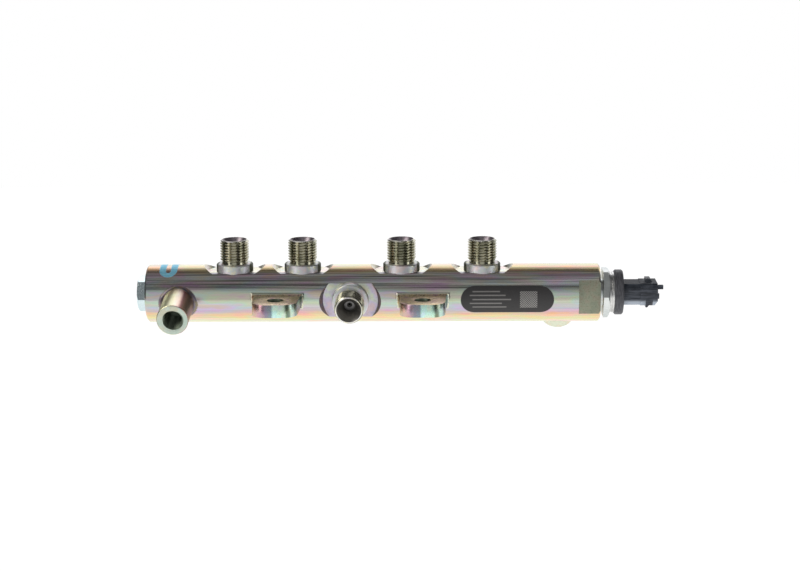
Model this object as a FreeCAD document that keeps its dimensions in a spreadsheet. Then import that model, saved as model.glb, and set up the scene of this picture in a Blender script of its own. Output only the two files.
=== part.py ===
import FreeCAD, Part

import math
import os
import re

import Sketcher

# Fuel rail in millimetres. X runs along the rail, Z points up through the outlets and the front is -Y.
# The origin is midway between the two lug holes, on the plane under the lugs where the rail is bolted down.

MODEL = FreeCAD.newDocument("FuelRail")
SIZES = MODEL.addObject("Spreadsheet::Sheet", "Sizes")

# Driving dimensions, one name each. A height or depth on the bar is measured from its round surface,
# and a sensor height from the hexagon's inner face, along the rail's axis.
DRIVING = {
    "rail_radius": 16.0,
    "rail_length": 249.8,
    "rail_left_end": 112.9,
    "rail_edge_break": 1.0,
    "bore_radius": 5.0,
    "flat_depth": 3.0,
    "flat_length": 12.0,
    "lug_spacing": 79.6,
    "lug_overhang": 12.4,
    "lug_tip_length": 12.0,
    "lug_tip_half_width": 12.0,
    "lug_root_half_width": 13.2,
    "lug_corner_radius": 8.0,
    "lug_thickness": 7.0,
    "lug_top_height": 2.1,
    "lug_hole_radius": 4.5,
    "lug_fillet": 2.5,
    "outlet_one": -64.4,
    "outlet_two": -26.75,
    "outlet_three": 27.8,
    "outlet_four": 72.3,
    "outlet_tilt": 0.0,
    "inlet_station": 0.0,
    "inlet_tilt": 96.0,
    "port_height": 14.4,
    "port_base_radius": 10.1,
    "port_base_height": 1.1,
    "port_base_break": 0.5,
    "port_neck_radius": 7.1,
    "port_neck_height": 2.5,
    "port_thread_radius": 8.0,
    "port_tip_break": 0.9,
    "port_mouth_radius": 6.8,
    "port_seat_half_angle": 30.0,
    "spot_depth": 3.2,
    "spot_floor_radius": 15.1,
    "spot_wall_draft": 30.0,
    "spot_tool_length": 4.0,
    "throttle_radius": 3.0,
    "throttle_length": 8.0,
    "throttle_seat_depth": 3.0,
    "throttle_hole_radius": 0.45,
    "throttle_entry_radius": 1.4,
    "feed_radius": 1.5,
    "drill_tip_slope": 30.0,
    "head_chamfer_slope": 30.0,
    "stub_from_left_end": 18.5,
    "stub_tilt": 99.5,
    "stub_height": 23.0,
    "stub_radius": 8.6,
    "stub_edge_break": 0.3,
    "stub_hole_radius": 5.2,
    "stub_mouth_radius": 5.8,
    "stub_hole_depth": 19.0,
    "pad_from_right_end": 22.5,
    "pad_tilt": 215.0,
    "pad_height": 3.6,
    "pad_radius": 9.0,
    "pad_edge_break": 0.6,
    "plug_head_across": 17.4,
    "plug_head_height": 5.3,
    "plug_head_turn": -9.4,
    "plug_shank_radius": 7.0,
    "plug_shank_length": 12.0,
    "plug_nose_radius": 6.2,
    "plug_nose_length": 1.0,
    "plug_hole_depth": 13.0,
    "thread_clearance": 0.05,
    "seal_cone_radius": 6.4,
    "sensor_gap": 1.7,
    "hexagon_across": 25.4,
    "hexagon_height": 3.5,
    "sensor_neck_radius": 7.5,
    "sensor_neck_length": 3.4,
    "sensor_thread_radius": 9.0,
    "sensor_thread_length": 10.0,
    "sensor_nose_radius": 6.0,
    "sensor_nose_length": 2.0,
    "sensor_nose_clearance": 0.3,
    "sensor_thread_break": 1.0,
    "sensor_channel_radius": 2.0,
    "cell_boss_radius": 5.5,
    "cell_boss_height": 1.0,
    "cell_radius": 4.5,
    "cell_height": 2.75,
    "cell_bore_radius": 2.5,
    "cell_diaphragm": 0.5,
    "spacer_inner_radius": 6.0,
    "spacer_outer_radius": 7.8,
    "spacer_height": 4.0,
    "board_radius": 8.0,
    "board_thickness": 1.0,
    "chip_side": 3.5,
    "chip_height": 1.0,
    "chip_offset": 4.5,
    "capacitor_length": 1.6,
    "capacitor_width": 0.8,
    "capacitor_spacing": 4.4,
    "sleeve_outer_radius": 11.3,
    "sleeve_inner_radius": 9.5,
    "sleeve_height": 2.75,
    "sleeve_groove_depth": 0.4,
    "sleeve_groove_start": 1.05,
    "sleeve_groove_width": 0.45,
    "skirt_outer_radius": 9.4,
    "skirt_inner_radius": 8.2,
    "skirt_length": 2.0,
    "ring_section_radius": 0.38,
    "ring_groove_radius": 8.7,
    "ring_groove_width": 1.1,
    "collar_radius": 12.45,
    "collar_height": 4.85,
    "collar_round": 0.7,
    "web_thickness": 1.3,
    "neck_height": 9.2,
    "neck_half_tall": 5.85,
    "neck_half_deep": 9.5,
    "neck_bevel": 3.0,
    "shroud_height": 9.45,
    "shroud_step": 0.3,
    "mouth_half_tall": 4.65,
    "mouth_half_deep": 7.7,
    "mouth_bevel": 2.0,
    "mouth_depth": 14.0,
    "lip_chamfer_length": 1.4,
    "lip_chamfer_height": 3.0,
    "catch_height": 2.0,
    "catch_half_width": 3.0,
    "catch_setback": 3.0,
    "catch_length": 3.9,
    "catch_flat": 2.8,
    "corner_catch_height": 0.6,
    "corner_catch_half_width": 2.7,
    "corner_catch_aside": 6.6,
    "corner_catch_setback": 2.8,
    "corner_catch_length": 3.9,
    "corner_catch_flat": 0.9,
    "key_length": 2.8,
    "key_half_tall": 1.1,
    "key_centre": 4.6,
    "stop_length": 0.7,
    "stop_half_tall": 1.4,
    "stop_centre": -0.4,
    "rib_width": 1.0,
    "rib_length": 6.6,
    "rib_centre": 2.4,
    "wall_bite": 0.8,
    "pin_half_side": 0.4,
    "pin_spacing": 4.5,
    "pin_length": 20.0,
    "pin_point": 0.8,
}


def minus(formula):
    """Return the negative of a formula."""
    return "-(%s)" % formula


def plus(formula):
    """Return a formula unchanged, as the other side to minus."""
    return "(%s)" % formula


def fill_sheet():
    """Write each driving dimension into its own named cell."""
    for row, (name, size) in enumerate(DRIVING.items(), start=1):
        SIZES.set("A%d" % row, name)
        SIZES.set("B%d" % row, str(size))
        SIZES.setAlias("B%d" % row, name)
    MODEL.recompute()


def in_sheet(formula):
    """Point each dimension named in a formula at its cell."""
    return re.sub(r"[a-z_]+", lambda word: "Sizes." + word[0] if word[0] in DRIVING else word[0], formula)


def number(formula):
    """Return what a formula of driving dimensions comes to."""
    result = SIZES.evalExpression(in_sheet(formula))
    return float(getattr(result, "Value", result))


def bind(item, **formulas):
    """Tie properties of an object to formulas; a double underscore stands for a dot."""
    for name, formula in formulas.items():
        item.setExpression(name.replace("__", "."), in_sheet(formula))


fill_sheet()

# Formulas that several pieces share.
SEAT_DROP = "(lug_thickness - lug_top_height)"
RAIL_RIGHT_END = "(rail_length - rail_left_end)"
STUB_STATION = "(stub_from_left_end - rail_left_end)"
PAD_STATION = "(rail_length - rail_left_end - pad_from_right_end)"
LUG_REACH = "(rail_radius + lug_overhang)"
PORT_REACH = "(rail_radius + port_height)"
PORT_BASE_TOP = "(rail_radius + port_base_height)"
PORT_NECK_TOP = "(rail_radius + port_neck_height)"
SPOT_FLOOR = "(rail_radius - spot_depth)"
THROTTLE_SEAT = "(rail_radius - throttle_seat_depth)"
STUB_REACH = "(rail_radius + stub_height)"
PAD_REACH = "(rail_radius + pad_height)"
FLAT_REACH = "(rail_radius - flat_depth)"
SENSOR_STATION = "(rail_length - rail_left_end + sensor_gap)"
SENSOR_SEAT_DEPTH = "(sensor_neck_length + sensor_thread_length + sensor_nose_length)"
SLEEVE_TOP = "(hexagon_height + sleeve_height)"
COLLAR_TOP = "(hexagon_height + sleeve_height + collar_height)"
NECK_TOP = "(hexagon_height + sleeve_height + collar_height + neck_height)"
SHROUD_TOP = "(hexagon_height + sleeve_height + collar_height + neck_height + shroud_height)"
BOARD_TOP = "(hexagon_height + spacer_height + board_thickness)"
PORT_CONE_BASE = (PORT_REACH + " - (port_mouth_radius - throttle_radius) / tan(port_seat_half_angle)")
OUTLET_STATIONS = ["outlet_one", "outlet_two", "outlet_three", "outlet_four"]
LUG_STATIONS = [minus("lug_spacing / 2"), "lug_spacing / 2"]
PIN_OFFSETS = [minus("pin_spacing"), "0", "pin_spacing"]

UPRIGHT = FreeCAD.Placement(FreeCAD.Vector(), FreeCAD.Rotation(FreeCAD.Vector(1, 0, 0), 90))
TOWARDS_RIGHT = FreeCAD.Rotation(FreeCAD.Vector(0, 1, 0), 90)
TOWARDS_LEFT = FreeCAD.Rotation(FreeCAD.Vector(0, 1, 0), -90)
SUBPARTS = []

# An edge lies on a surface when its spots are this near to it.
TOLERANCE = 0.01
SPOTS_PER_EDGE = 7


def draw_outline(sketch, corners):
    """Draw a closed outline whose corners are pairs of formulas, each bound to the sheet."""
    spots = [FreeCAD.Vector(number(across), number(up), 0) for across, up in corners]
    for index, spot in enumerate(spots):
        sketch.addGeometry(Part.LineSegment(spot, spots[(index + 1) % len(spots)]), False)
    for index in range(len(spots)):
        sketch.addConstraint(Sketcher.Constraint("Coincident", index, 2, (index + 1) % len(spots), 1))
    for index, formulas in enumerate(corners):
        for kind, axis, formula, along in zip(("DistanceX", "DistanceY"), (-2, -1), formulas, spots[index]):
            if formula == "0":
                sketch.addConstraint(Sketcher.Constraint("PointOnObject", index, 1, axis))
                continue
            row = sketch.addConstraint(Sketcher.Constraint(kind, -1, 1, index, 1, along))
            sketch.setExpression("Constraints[%d]" % row, in_sheet(formula))


def hexagon(across):
    """Return the corners of a hexagon with two corners on the second axis."""
    half = "%s / 2" % across
    edge = "%s / 2 / sqrt(3)" % across
    tip = "%s / sqrt(3)" % across
    return [("0", tip), (minus(half), edge), (minus(half), minus(edge)),
            ("0", minus(tip)), (half, minus(edge)), (half, edge)]


def bevelled(half_tall, half_deep, bevel):
    """Return the corners of a rectangle with its four corners cut off."""
    tall_flat = "(%s - %s)" % (half_tall, bevel)
    deep_flat = "(%s - %s)" % (half_deep, bevel)
    return [(half_tall, deep_flat), (tall_flat, half_deep), (minus(tall_flat), half_deep),
            (minus(half_tall), deep_flat), (minus(half_tall), minus(deep_flat)),
            (minus(tall_flat), minus(half_deep)), (tall_flat, minus(half_deep)),
            (half_tall, minus(deep_flat))]


def rectangle(near, far, start, end):
    """Return the corners of a rectangle between two formulas on each axis."""
    return [(near, start), (far, start), (far, end), (near, end)]


def pin_outline(aside):
    """Return the corners of a contact's square section at one offset."""
    return rectangle(minus("pin_half_side"), "pin_half_side",
                     aside + " - pin_half_side", aside + " + pin_half_side")


# Part workbench helpers, used for the forging.

def turned(name, section):
    """Turn a half-section of radius and height about the Z axis."""
    sketch = MODEL.addObject("Sketcher::SketchObject", name + "_section")
    sketch.Placement = UPRIGHT
    draw_outline(sketch, section)
    solid = MODEL.addObject("Part::Revolution", name)
    solid.Source = sketch
    solid.Axis = (0, 0, 1)
    solid.Angle = 360
    solid.Solid = True
    return solid


def tilted(solid, station, tilt):
    """Stand a turned solid on the rail's axis and tilt it forward from the vertical."""
    solid.Placement.Rotation = FreeCAD.Rotation(FreeCAD.Vector(1, 0, 0), number(tilt))
    bind(solid, Placement__Base__x=station, Placement__Rotation__Angle=tilt)
    return solid


def extruded(name, outline, thickness):
    """Extrude a flat outline upwards."""
    sketch = MODEL.addObject("Sketcher::SketchObject", name + "_outline")
    draw_outline(sketch, outline)
    solid = MODEL.addObject("Part::Extrusion", name)
    solid.Base = sketch
    solid.DirMode = "Custom"
    solid.Dir = (0, 0, 1)
    solid.Solid = True
    bind(solid, LengthFwd=thickness)
    return solid


def joined(name, pieces):
    """Fuse several solids into one."""
    solid = MODEL.addObject("Part::MultiFuse", name)
    solid.Shapes = pieces
    return solid


def cut(name, base, tool):
    """Cut one solid out of another."""
    solid = MODEL.addObject("Part::Cut", name)
    solid.Base = base
    solid.Tool = tool
    return solid


def keep(solid, label):
    """List a finished sub-part under the name of its file."""
    solid.Label = label
    SUBPARTS.append(solid)
    return solid


# The forging.

def rail_bar():
    """Round bar with a chamfer at each end."""
    bar = turned("bar", [
        ("0", "0"),
        ("rail_radius - rail_edge_break", "0"),
        ("rail_radius", "rail_edge_break"),
        ("rail_radius", "rail_length - rail_edge_break"),
        ("rail_radius - rail_edge_break", "rail_length"),
        ("0", "rail_length")])
    bar.Placement.Rotation = TOWARDS_RIGHT
    bind(bar, Placement__Base__x=minus("rail_left_end"))
    return bar


def lug(side, station):
    """Tongue that widens towards its root, with two rounded corners at its tip."""
    front = "(%s + lug_tip_length)" % LUG_REACH
    tongue = extruded("lug_tongue_" + side, [
        (minus("lug_root_half_width"), "0"),
        (minus("lug_tip_half_width"), minus(front)),
        ("lug_tip_half_width", minus(front)),
        ("lug_root_half_width", "0")], "lug_thickness")
    bind(tongue, Placement__Base__x=station, Placement__Base__z=minus(SEAT_DROP))
    MODEL.recompute()
    corner_radius = number("lug_corner_radius")
    front_y = number(minus(front))
    corners = [(index, corner_radius, corner_radius) for index, edge in enumerate(tongue.Shape.Edges, start=1)
               if all(abs(point.Point.y - front_y) < TOLERANCE for point in edge.Vertexes)
               and abs(edge.tangentAt(edge.FirstParameter).z) > 1 - TOLERANCE]
    rounded = MODEL.addObject("Part::Fillet", "lug_" + side)
    rounded.Base = tongue
    rounded.Edges = corners
    return rounded


def stub():
    """Smooth stub that carries an internal thread."""
    return tilted(turned("stub", [
        ("0", "0"),
        ("stub_radius", "0"),
        ("stub_radius", STUB_REACH + " - stub_edge_break"),
        ("stub_radius - stub_edge_break", STUB_REACH),
        ("0", STUB_REACH)]), STUB_STATION, "stub_tilt")


def pad():
    """Short round pad at the lower back."""
    return tilted(turned("pad", [
        ("0", "0"),
        ("pad_radius", "0"),
        ("pad_radius", PAD_REACH + " - pad_edge_break"),
        ("pad_radius - pad_edge_break", PAD_REACH),
        ("0", PAD_REACH)]), PAD_STATION, "pad_tilt")


def rounded_roots(forging):
    """Round the edges where the lugs, stub and pad grow out of the bar."""
    MODEL.recompute()
    rail_radius = number("rail_radius")
    fillet_radius = number("lug_fillet")
    clear_of_ends = number("rail_edge_break") + TOLERANCE
    left, right = number(minus("rail_left_end")), number(RAIL_RIGHT_END)
    chosen = []
    for index, edge in enumerate(forging.Shape.Edges, start=1):
        spots = edge.discretize(SPOTS_PER_EDGE)
        on_bar = all(abs(math.hypot(spot.y, spot.z) - rail_radius) < TOLERANCE for spot in spots)
        inside = all(left + clear_of_ends < spot.x < right - clear_of_ends for spot in spots)
        if on_bar and inside:
            chosen.append((index, fillet_radius, fillet_radius))
    rounded = MODEL.addObject("Part::Fillet", "rounded_roots")
    rounded.Base = forging
    rounded.Edges = chosen
    return rounded


def spot_face(name, station, tilt):
    """Round spot face with a drafted wall, milled into the bar around one port."""
    top = "(%s + spot_tool_length)" % PORT_BASE_TOP
    widening = "(%s - %s) * tan(spot_wall_draft)" % (top, SPOT_FLOOR)
    return tilted(turned("spot_" + name, [
        ("0", SPOT_FLOOR),
        ("spot_floor_radius", SPOT_FLOOR),
        ("spot_floor_radius + " + widening, top),
        ("0", top)]), station, tilt)


def port(name, station, tilt):
    """Port with a round base, a relief neck and the outside of its thread."""
    return tilted(turned("port_" + name, [
        ("0", "bore_radius"),
        ("port_base_radius", "bore_radius"),
        ("port_base_radius", PORT_BASE_TOP + " - port_base_break"),
        ("port_base_radius - port_base_break", PORT_BASE_TOP),
        ("port_neck_radius", PORT_BASE_TOP),
        ("port_neck_radius", PORT_NECK_TOP),
        ("port_thread_radius", PORT_NECK_TOP + " + port_thread_radius - port_neck_radius"),
        ("port_thread_radius", PORT_REACH + " - port_tip_break"),
        ("port_thread_radius - port_tip_break", PORT_REACH),
        ("0", PORT_REACH)]), station, tilt)


def port_bore(name, station, tilt):
    """Pipe seat, throttle seat and feed drilling of one port."""
    return tilted(turned("port_bore_" + name, [
        ("0", "0"),
        ("feed_radius", "0"),
        ("feed_radius", THROTTLE_SEAT),
        ("throttle_radius", THROTTLE_SEAT),
        ("throttle_radius", PORT_CONE_BASE),
        ("port_mouth_radius", PORT_REACH),
        ("0", PORT_REACH)]), station, tilt)


def stub_bore():
    """Threaded hole of the stub, at its thread's inner diameter, with its feed drilling."""
    hole_end = "(%s - stub_hole_depth)" % STUB_REACH
    return tilted(turned("stub_bore", [
        ("0", "0"),
        ("feed_radius", "0"),
        ("feed_radius", hole_end + " - (stub_hole_radius - feed_radius) * tan(drill_tip_slope)"),
        ("stub_hole_radius", hole_end),
        ("stub_hole_radius", STUB_REACH + " - (stub_mouth_radius - stub_hole_radius)"),
        ("stub_mouth_radius", STUB_REACH),
        ("0", STUB_REACH)]), STUB_STATION, "stub_tilt")


def main_bore():
    """Bore along the rail, with the plug's thread and cone at the left and the sensor's at the right."""
    cone_depth = "(plug_hole_depth + seal_cone_radius - bore_radius)"
    seat = "(rail_length + sensor_gap - %s)" % SENSOR_SEAT_DEPTH
    nose_room = "(sensor_nose_radius + sensor_nose_clearance)"
    core = turned("main_bore", [
        ("0", "0"),
        ("plug_shank_radius + thread_clearance", "0"),
        ("plug_shank_radius + thread_clearance", "plug_hole_depth"),
        ("seal_cone_radius", "plug_hole_depth"),
        ("bore_radius", cone_depth),
        ("bore_radius", seat),
        (nose_room, seat),
        (nose_room, seat + " + sensor_nose_length / 2"),
        ("sensor_thread_radius + thread_clearance", seat + " + sensor_nose_length / 2"),
        ("sensor_thread_radius + thread_clearance", "rail_length"),
        ("0", "rail_length")])
    core.Placement.Rotation = TOWARDS_RIGHT
    bind(core, Placement__Base__x=minus("rail_left_end"))
    return core


def lug_hole(side, station):
    """Bolt hole of one lug."""
    hole = MODEL.addObject("Part::Cylinder", "lug_hole_" + side)
    bind(hole, Radius="lug_hole_radius", Height="lug_thickness", Placement__Base__x=station,
         Placement__Base__y=minus(LUG_REACH), Placement__Base__z=minus(SEAT_DROP))
    return hole


def wrench_flat(side, start):
    """Block that mills one wrench flat at the right end."""
    block = MODEL.addObject("Part::Box", "wrench_flat_" + side)
    bind(block, Length="flat_length", Width="rail_radius", Height="2 * rail_radius",
         Placement__Base__x=RAIL_RIGHT_END + " - flat_length",
         Placement__Base__y=start, Placement__Base__z=minus("rail_radius"))
    return block


def rail_body():
    """The whole forging with its machining."""
    ports = [("outlet_%d" % count, station, "outlet_tilt")
             for count, station in enumerate(OUTLET_STATIONS, start=1)]
    ports.append(("inlet", "inlet_station", "inlet_tilt"))
    lugs = [lug(side, station) for side, station in zip(("left", "right"), LUG_STATIONS)]
    forging = rounded_roots(joined("forging", [rail_bar(), stub(), pad()] + lugs))
    milling = joined("milling", [spot_face(*where) for where in ports] + [
        wrench_flat("front", minus(FLAT_REACH + " + rail_radius")),
        wrench_flat("back", FLAT_REACH)])
    milled = cut("milled", forging, milling)
    blank = joined("blank", [milled] + [port(*where) for where in ports])
    drilling = joined("drilling", [main_bore(), stub_bore()] + [port_bore(*where) for where in ports] + [
        lug_hole(side, station) for side, station in zip(("left", "right"), LUG_STATIONS)])
    body = cut("drilled", blank, drilling)
    bind(body, Placement__Base__y=LUG_REACH, Placement__Base__z=SEAT_DROP)
    return keep(body, "rail_body")


# Part Design helpers, used for the pieces that are turned, milled or moulded.

def new_body(label):
    """Start one piece."""
    return keep(MODEL.addObject("PartDesign::Body", label + "_body"), label)


def own_sketch(body, name, role, outline, lift="0"):
    """Draw an outline on one of the body's own planes, lifted off it by a formula."""
    plane = [feature for feature in body.Origin.OriginFeatures if feature.Role == role][0]
    sketch = body.newObject("Sketcher::SketchObject", name + "_outline")
    sketch.AttachmentSupport = (plane, [""])
    sketch.MapMode = "FlatFace"
    if lift != "0":
        bind(sketch, AttachmentOffset__Base__z=lift)
    draw_outline(sketch, outline)
    return sketch


def revolve(body, name, section, kind="PartDesign::Revolution"):
    """Turn a half-section of radius and height about the body's Z axis."""
    sketch = own_sketch(body, name, "XZ_Plane", section)
    feature = body.newObject(kind, name)
    feature.Profile = sketch
    feature.ReferenceAxis = (sketch, ["V_Axis"])
    feature.Angle = 360
    return feature


def pad_up(body, name, outline, lift, height):
    """Pad an outline upwards from a height."""
    feature = body.newObject("PartDesign::Pad", name)
    feature.Profile = own_sketch(body, name, "XY_Plane", outline, lift)
    bind(feature, Length=height)
    return feature


def pocket_down(body, name, outline, lift, depth):
    """Cut an outline downwards from a height."""
    feature = body.newObject("PartDesign::Pocket", name)
    feature.Profile = own_sketch(body, name, "XY_Plane", outline, lift)
    bind(feature, Length=depth)
    return feature


def stand(body, rotation, station):
    """Put a piece on the rail's axis at a station along it."""
    body.Placement.Rotation = rotation
    bind(body, Placement__Base__x=station, Placement__Base__y=LUG_REACH, Placement__Base__z=SEAT_DROP)
    return body


def hexagon_chamfer(across, height):
    """Return the triangle that a chamfering tool takes off a hexagon's top corners."""
    reach = "(%s / sqrt(3) + 1)" % across
    drop = "(%s - %s / 2) * tan(head_chamfer_slope)" % (reach, across)
    return [("%s / 2" % across, height), (reach, "%s - %s" % (height, drop)), (reach, height)]


def throttle(label, station, tilt):
    """Small sleeve with a fine hole, pressed in under a pipe seat."""
    body = new_body(label)
    entry_depth = "(throttle_entry_radius - throttle_hole_radius)"
    foot = THROTTLE_SEAT
    head = "(%s + throttle_length)" % THROTTLE_SEAT
    revolve(body, label + "_sleeve", [
        ("throttle_hole_radius", foot),
        ("throttle_radius", foot),
        ("throttle_radius", head),
        ("throttle_entry_radius", head),
        ("throttle_hole_radius", head + " - " + entry_depth)])
    body.Placement.Rotation = FreeCAD.Rotation(FreeCAD.Vector(1, 0, 0), number(tilt))
    bind(body, Placement__Base__x=station, Placement__Base__y=LUG_REACH,
         Placement__Base__z=SEAT_DROP, Placement__Rotation__Angle=tilt)
    return body


def end_plug():
    """Hexagon-headed plug with a cone that seals on the edge of the main bore."""
    body = new_body("end_plug")
    cone_start = "(plug_hole_depth + seal_cone_radius - plug_nose_radius)"
    cone_tip = "(%s + plug_nose_length)" % cone_start
    head = pad_up(body, "plug_head", hexagon("plug_head_across"), "0", "plug_head_height")
    bind(head.Profile[0], AttachmentOffset__Rotation__Angle="plug_head_turn")
    revolve(body, "plug_head_chamfer", hexagon_chamfer("plug_head_across", "plug_head_height"),
            "PartDesign::Groove")
    revolve(body, "plug_shank", [
        ("0", "plug_head_height / 2"),
        ("plug_shank_radius", "plug_head_height / 2"),
        ("plug_shank_radius", minus("plug_shank_length")),
        ("plug_nose_radius", minus("plug_shank_length")),
        ("plug_nose_radius", minus(cone_start)),
        ("plug_nose_radius - plug_nose_length", minus(cone_tip)),
        ("0", minus(cone_tip))])
    return stand(body, TOWARDS_LEFT, minus("rail_left_end"))


def sensor_body():
    """Hexagonal steel body with its threaded shank, sealing nose and pressure channel."""
    body = new_body("sensor_body")
    thread_end = "(sensor_neck_length + sensor_thread_length)"
    boss_top = "(hexagon_height + cell_boss_height)"
    pad_up(body, "sensor_hexagon", hexagon("hexagon_across"), "0", "hexagon_height")
    revolve(body, "sensor_hexagon_chamfer", hexagon_chamfer("hexagon_across", "hexagon_height"),
            "PartDesign::Groove")
    revolve(body, "sensor_shank", [
        ("0", minus(SENSOR_SEAT_DEPTH)),
        ("sensor_nose_radius", minus(SENSOR_SEAT_DEPTH)),
        ("sensor_nose_radius", minus(thread_end)),
        ("sensor_thread_radius - sensor_thread_break", minus(thread_end)),
        ("sensor_thread_radius", "sensor_thread_break - " + thread_end),
        ("sensor_thread_radius", minus("sensor_neck_length")),
        ("sensor_neck_radius", "sensor_thread_radius - sensor_neck_radius - sensor_neck_length"),
        ("sensor_neck_radius", "hexagon_height / 2"),
        ("cell_boss_radius", "hexagon_height / 2"),
        ("cell_boss_radius", boss_top),
        ("0", boss_top)])
    revolve(body, "sensor_channel", [
        ("0", minus(SENSOR_SEAT_DEPTH)),
        ("sensor_channel_radius", minus(SENSOR_SEAT_DEPTH)),
        ("sensor_channel_radius", boss_top),
        ("0", boss_top)], "PartDesign::Groove")
    return stand(body, TOWARDS_RIGHT, SENSOR_STATION)


def sensor_cell():
    """Measuring cell: a steel cap whose thin top is the diaphragm."""
    body = new_body("sensor_cell")
    foot = "(hexagon_height + cell_boss_height)"
    top = "(hexagon_height + cell_boss_height + cell_height)"
    revolve(body, "cell_cap", [
        ("cell_bore_radius", foot),
        ("cell_radius", foot),
        ("cell_radius", top),
        ("0", top),
        ("0", top + " - cell_diaphragm"),
        ("cell_bore_radius", top + " - cell_diaphragm")])
    return stand(body, TOWARDS_RIGHT, SENSOR_STATION)


def sensor_spacer():
    """Plastic ring that holds the board clear of the cell."""
    body = new_body("sensor_spacer")
    revolve(body, "spacer_ring", rectangle(
        "spacer_inner_radius", "spacer_outer_radius", "hexagon_height", "hexagon_height + spacer_height"))
    return stand(body, TOWARDS_RIGHT, SENSOR_STATION)


def sensor_board():
    """Round circuit board."""
    body = new_body("sensor_board")
    revolve(body, "board_disc", rectangle(
        "0", "board_radius", "hexagon_height + spacer_height", BOARD_TOP))
    return stand(body, TOWARDS_RIGHT, SENSOR_STATION)


def board_block(label, below, aside, tall, deep, high):
    """Small block soldered on the board, centred at two offsets."""
    body = new_body(label)
    outline = rectangle("%s - %s / 2" % (below, tall), "%s + %s / 2" % (below, tall),
                        "%s - %s / 2" % (aside, deep), "%s + %s / 2" % (aside, deep))
    pad_up(body, label + "_block", outline, BOARD_TOP, high)
    return stand(body, TOWARDS_RIGHT, SENSOR_STATION)


def contact_pin(label, aside):
    """Square contact with a pointed end, standing on the board."""
    body = new_body(label)
    top = "(%s + pin_length)" % BOARD_TOP
    pad_up(body, label + "_blade", pin_outline("0"), BOARD_TOP, "pin_length")
    revolve(body, label + "_point", [
        ("pin_half_side / 2", top),
        ("pin_half_side * 2", top),
        ("pin_half_side * 2", top + " - pin_point")], "PartDesign::Groove")
    stand(body, TOWARDS_RIGHT, SENSOR_STATION)
    bind(body, Placement__Base__y=LUG_REACH + " + " + aside)
    return body


def crimp_sleeve():
    """Metal ring between hexagon and collar, with one groove rolled into it."""
    body = new_body("sensor_crimp_sleeve")
    groove = "(hexagon_height + sleeve_groove_start)"
    groove_end = "(hexagon_height + sleeve_groove_start + sleeve_groove_width)"
    waist = "(sleeve_outer_radius - sleeve_groove_depth)"
    revolve(body, "sleeve_ring", [
        ("sleeve_inner_radius", "hexagon_height"),
        ("sleeve_outer_radius", "hexagon_height"),
        ("sleeve_outer_radius", groove),
        (waist, groove),
        (waist, groove_end),
        ("sleeve_outer_radius", groove_end),
        ("sleeve_outer_radius", SLEEVE_TOP),
        ("sleeve_inner_radius", SLEEVE_TOP)])
    return stand(body, TOWARDS_RIGHT, SENSOR_STATION)


def sealing_ring():
    """Round rubber ring between the housing's skirt and the crimp sleeve."""
    ring = MODEL.addObject("Part::Torus", "sealing_ring")
    centre = "(ring_groove_radius + sleeve_inner_radius) / 2"
    bind(ring, Radius1=centre, Radius2="ring_section_radius")
    ring.Placement.Rotation = TOWARDS_RIGHT
    lift = "(%s - skirt_length / 2)" % SLEEVE_TOP
    bind(ring, Placement__Base__x=SENSOR_STATION + " + " + lift,
         Placement__Base__y=LUG_REACH, Placement__Base__z=SEAT_DROP)
    return keep(ring, "sensor_o_ring")


def housing_shell(body):
    """Collar with its skirt, the ring groove, the inner room and the closed web."""
    foot = "(%s - skirt_length)" % SLEEVE_TOP
    groove_middle = "(%s - skirt_length / 2)" % SLEEVE_TOP
    room_top = "(%s - web_thickness)" % COLLAR_TOP
    revolve(body, "collar", [
        ("skirt_inner_radius", foot),
        ("skirt_outer_radius", foot),
        ("skirt_outer_radius", groove_middle + " - ring_groove_width / 2"),
        ("ring_groove_radius", groove_middle + " - ring_groove_width / 2"),
        ("ring_groove_radius", groove_middle + " + ring_groove_width / 2"),
        ("skirt_outer_radius", groove_middle + " + ring_groove_width / 2"),
        ("skirt_outer_radius", SLEEVE_TOP),
        ("collar_radius - collar_round", SLEEVE_TOP),
        ("collar_radius", SLEEVE_TOP + " + collar_round"),
        ("collar_radius", COLLAR_TOP + " - collar_round"),
        ("collar_radius - collar_round", COLLAR_TOP),
        ("0", COLLAR_TOP),
        ("0", room_top),
        ("skirt_inner_radius", room_top)])


def housing_shroud(body):
    """Connector neck and the wider shroud at its end."""
    pad_up(body, "neck", bevelled("neck_half_tall", "neck_half_deep", "neck_bevel"),
           COLLAR_TOP, "neck_height")
    pad_up(body, "shroud", bevelled("(neck_half_tall + shroud_step)", "(neck_half_deep + shroud_step)",
                                    "neck_bevel"), NECK_TOP, "shroud_height")


def across_slab(body, kind, name, outline, half_width, aside="0"):
    """Add or cut a profile drawn along the connector, to both sides of a plane set aside from its middle."""
    feature = body.newObject(kind, name)
    feature.Profile = own_sketch(body, name, "XZ_Plane", outline, aside)
    feature.SideType = "Symmetric"
    bind(feature, Length="2 * " + half_width)


def catch_upper(body):
    """Catch on top of the shroud, with a sloped end for the plug to ride over."""
    inner = minus("neck_half_tall + shroud_step - wall_bite")
    outer = minus("neck_half_tall + shroud_step + catch_height")
    foot = "(%s + catch_setback)" % NECK_TOP
    across_slab(body, "PartDesign::Pad", "catch_upper", [
        (inner, foot),
        (outer, foot),
        (outer, foot + " + catch_flat"),
        (minus("neck_half_tall + shroud_step"), foot + " + catch_length"),
        (inner, foot + " + catch_length")], "catch_half_width")


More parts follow.
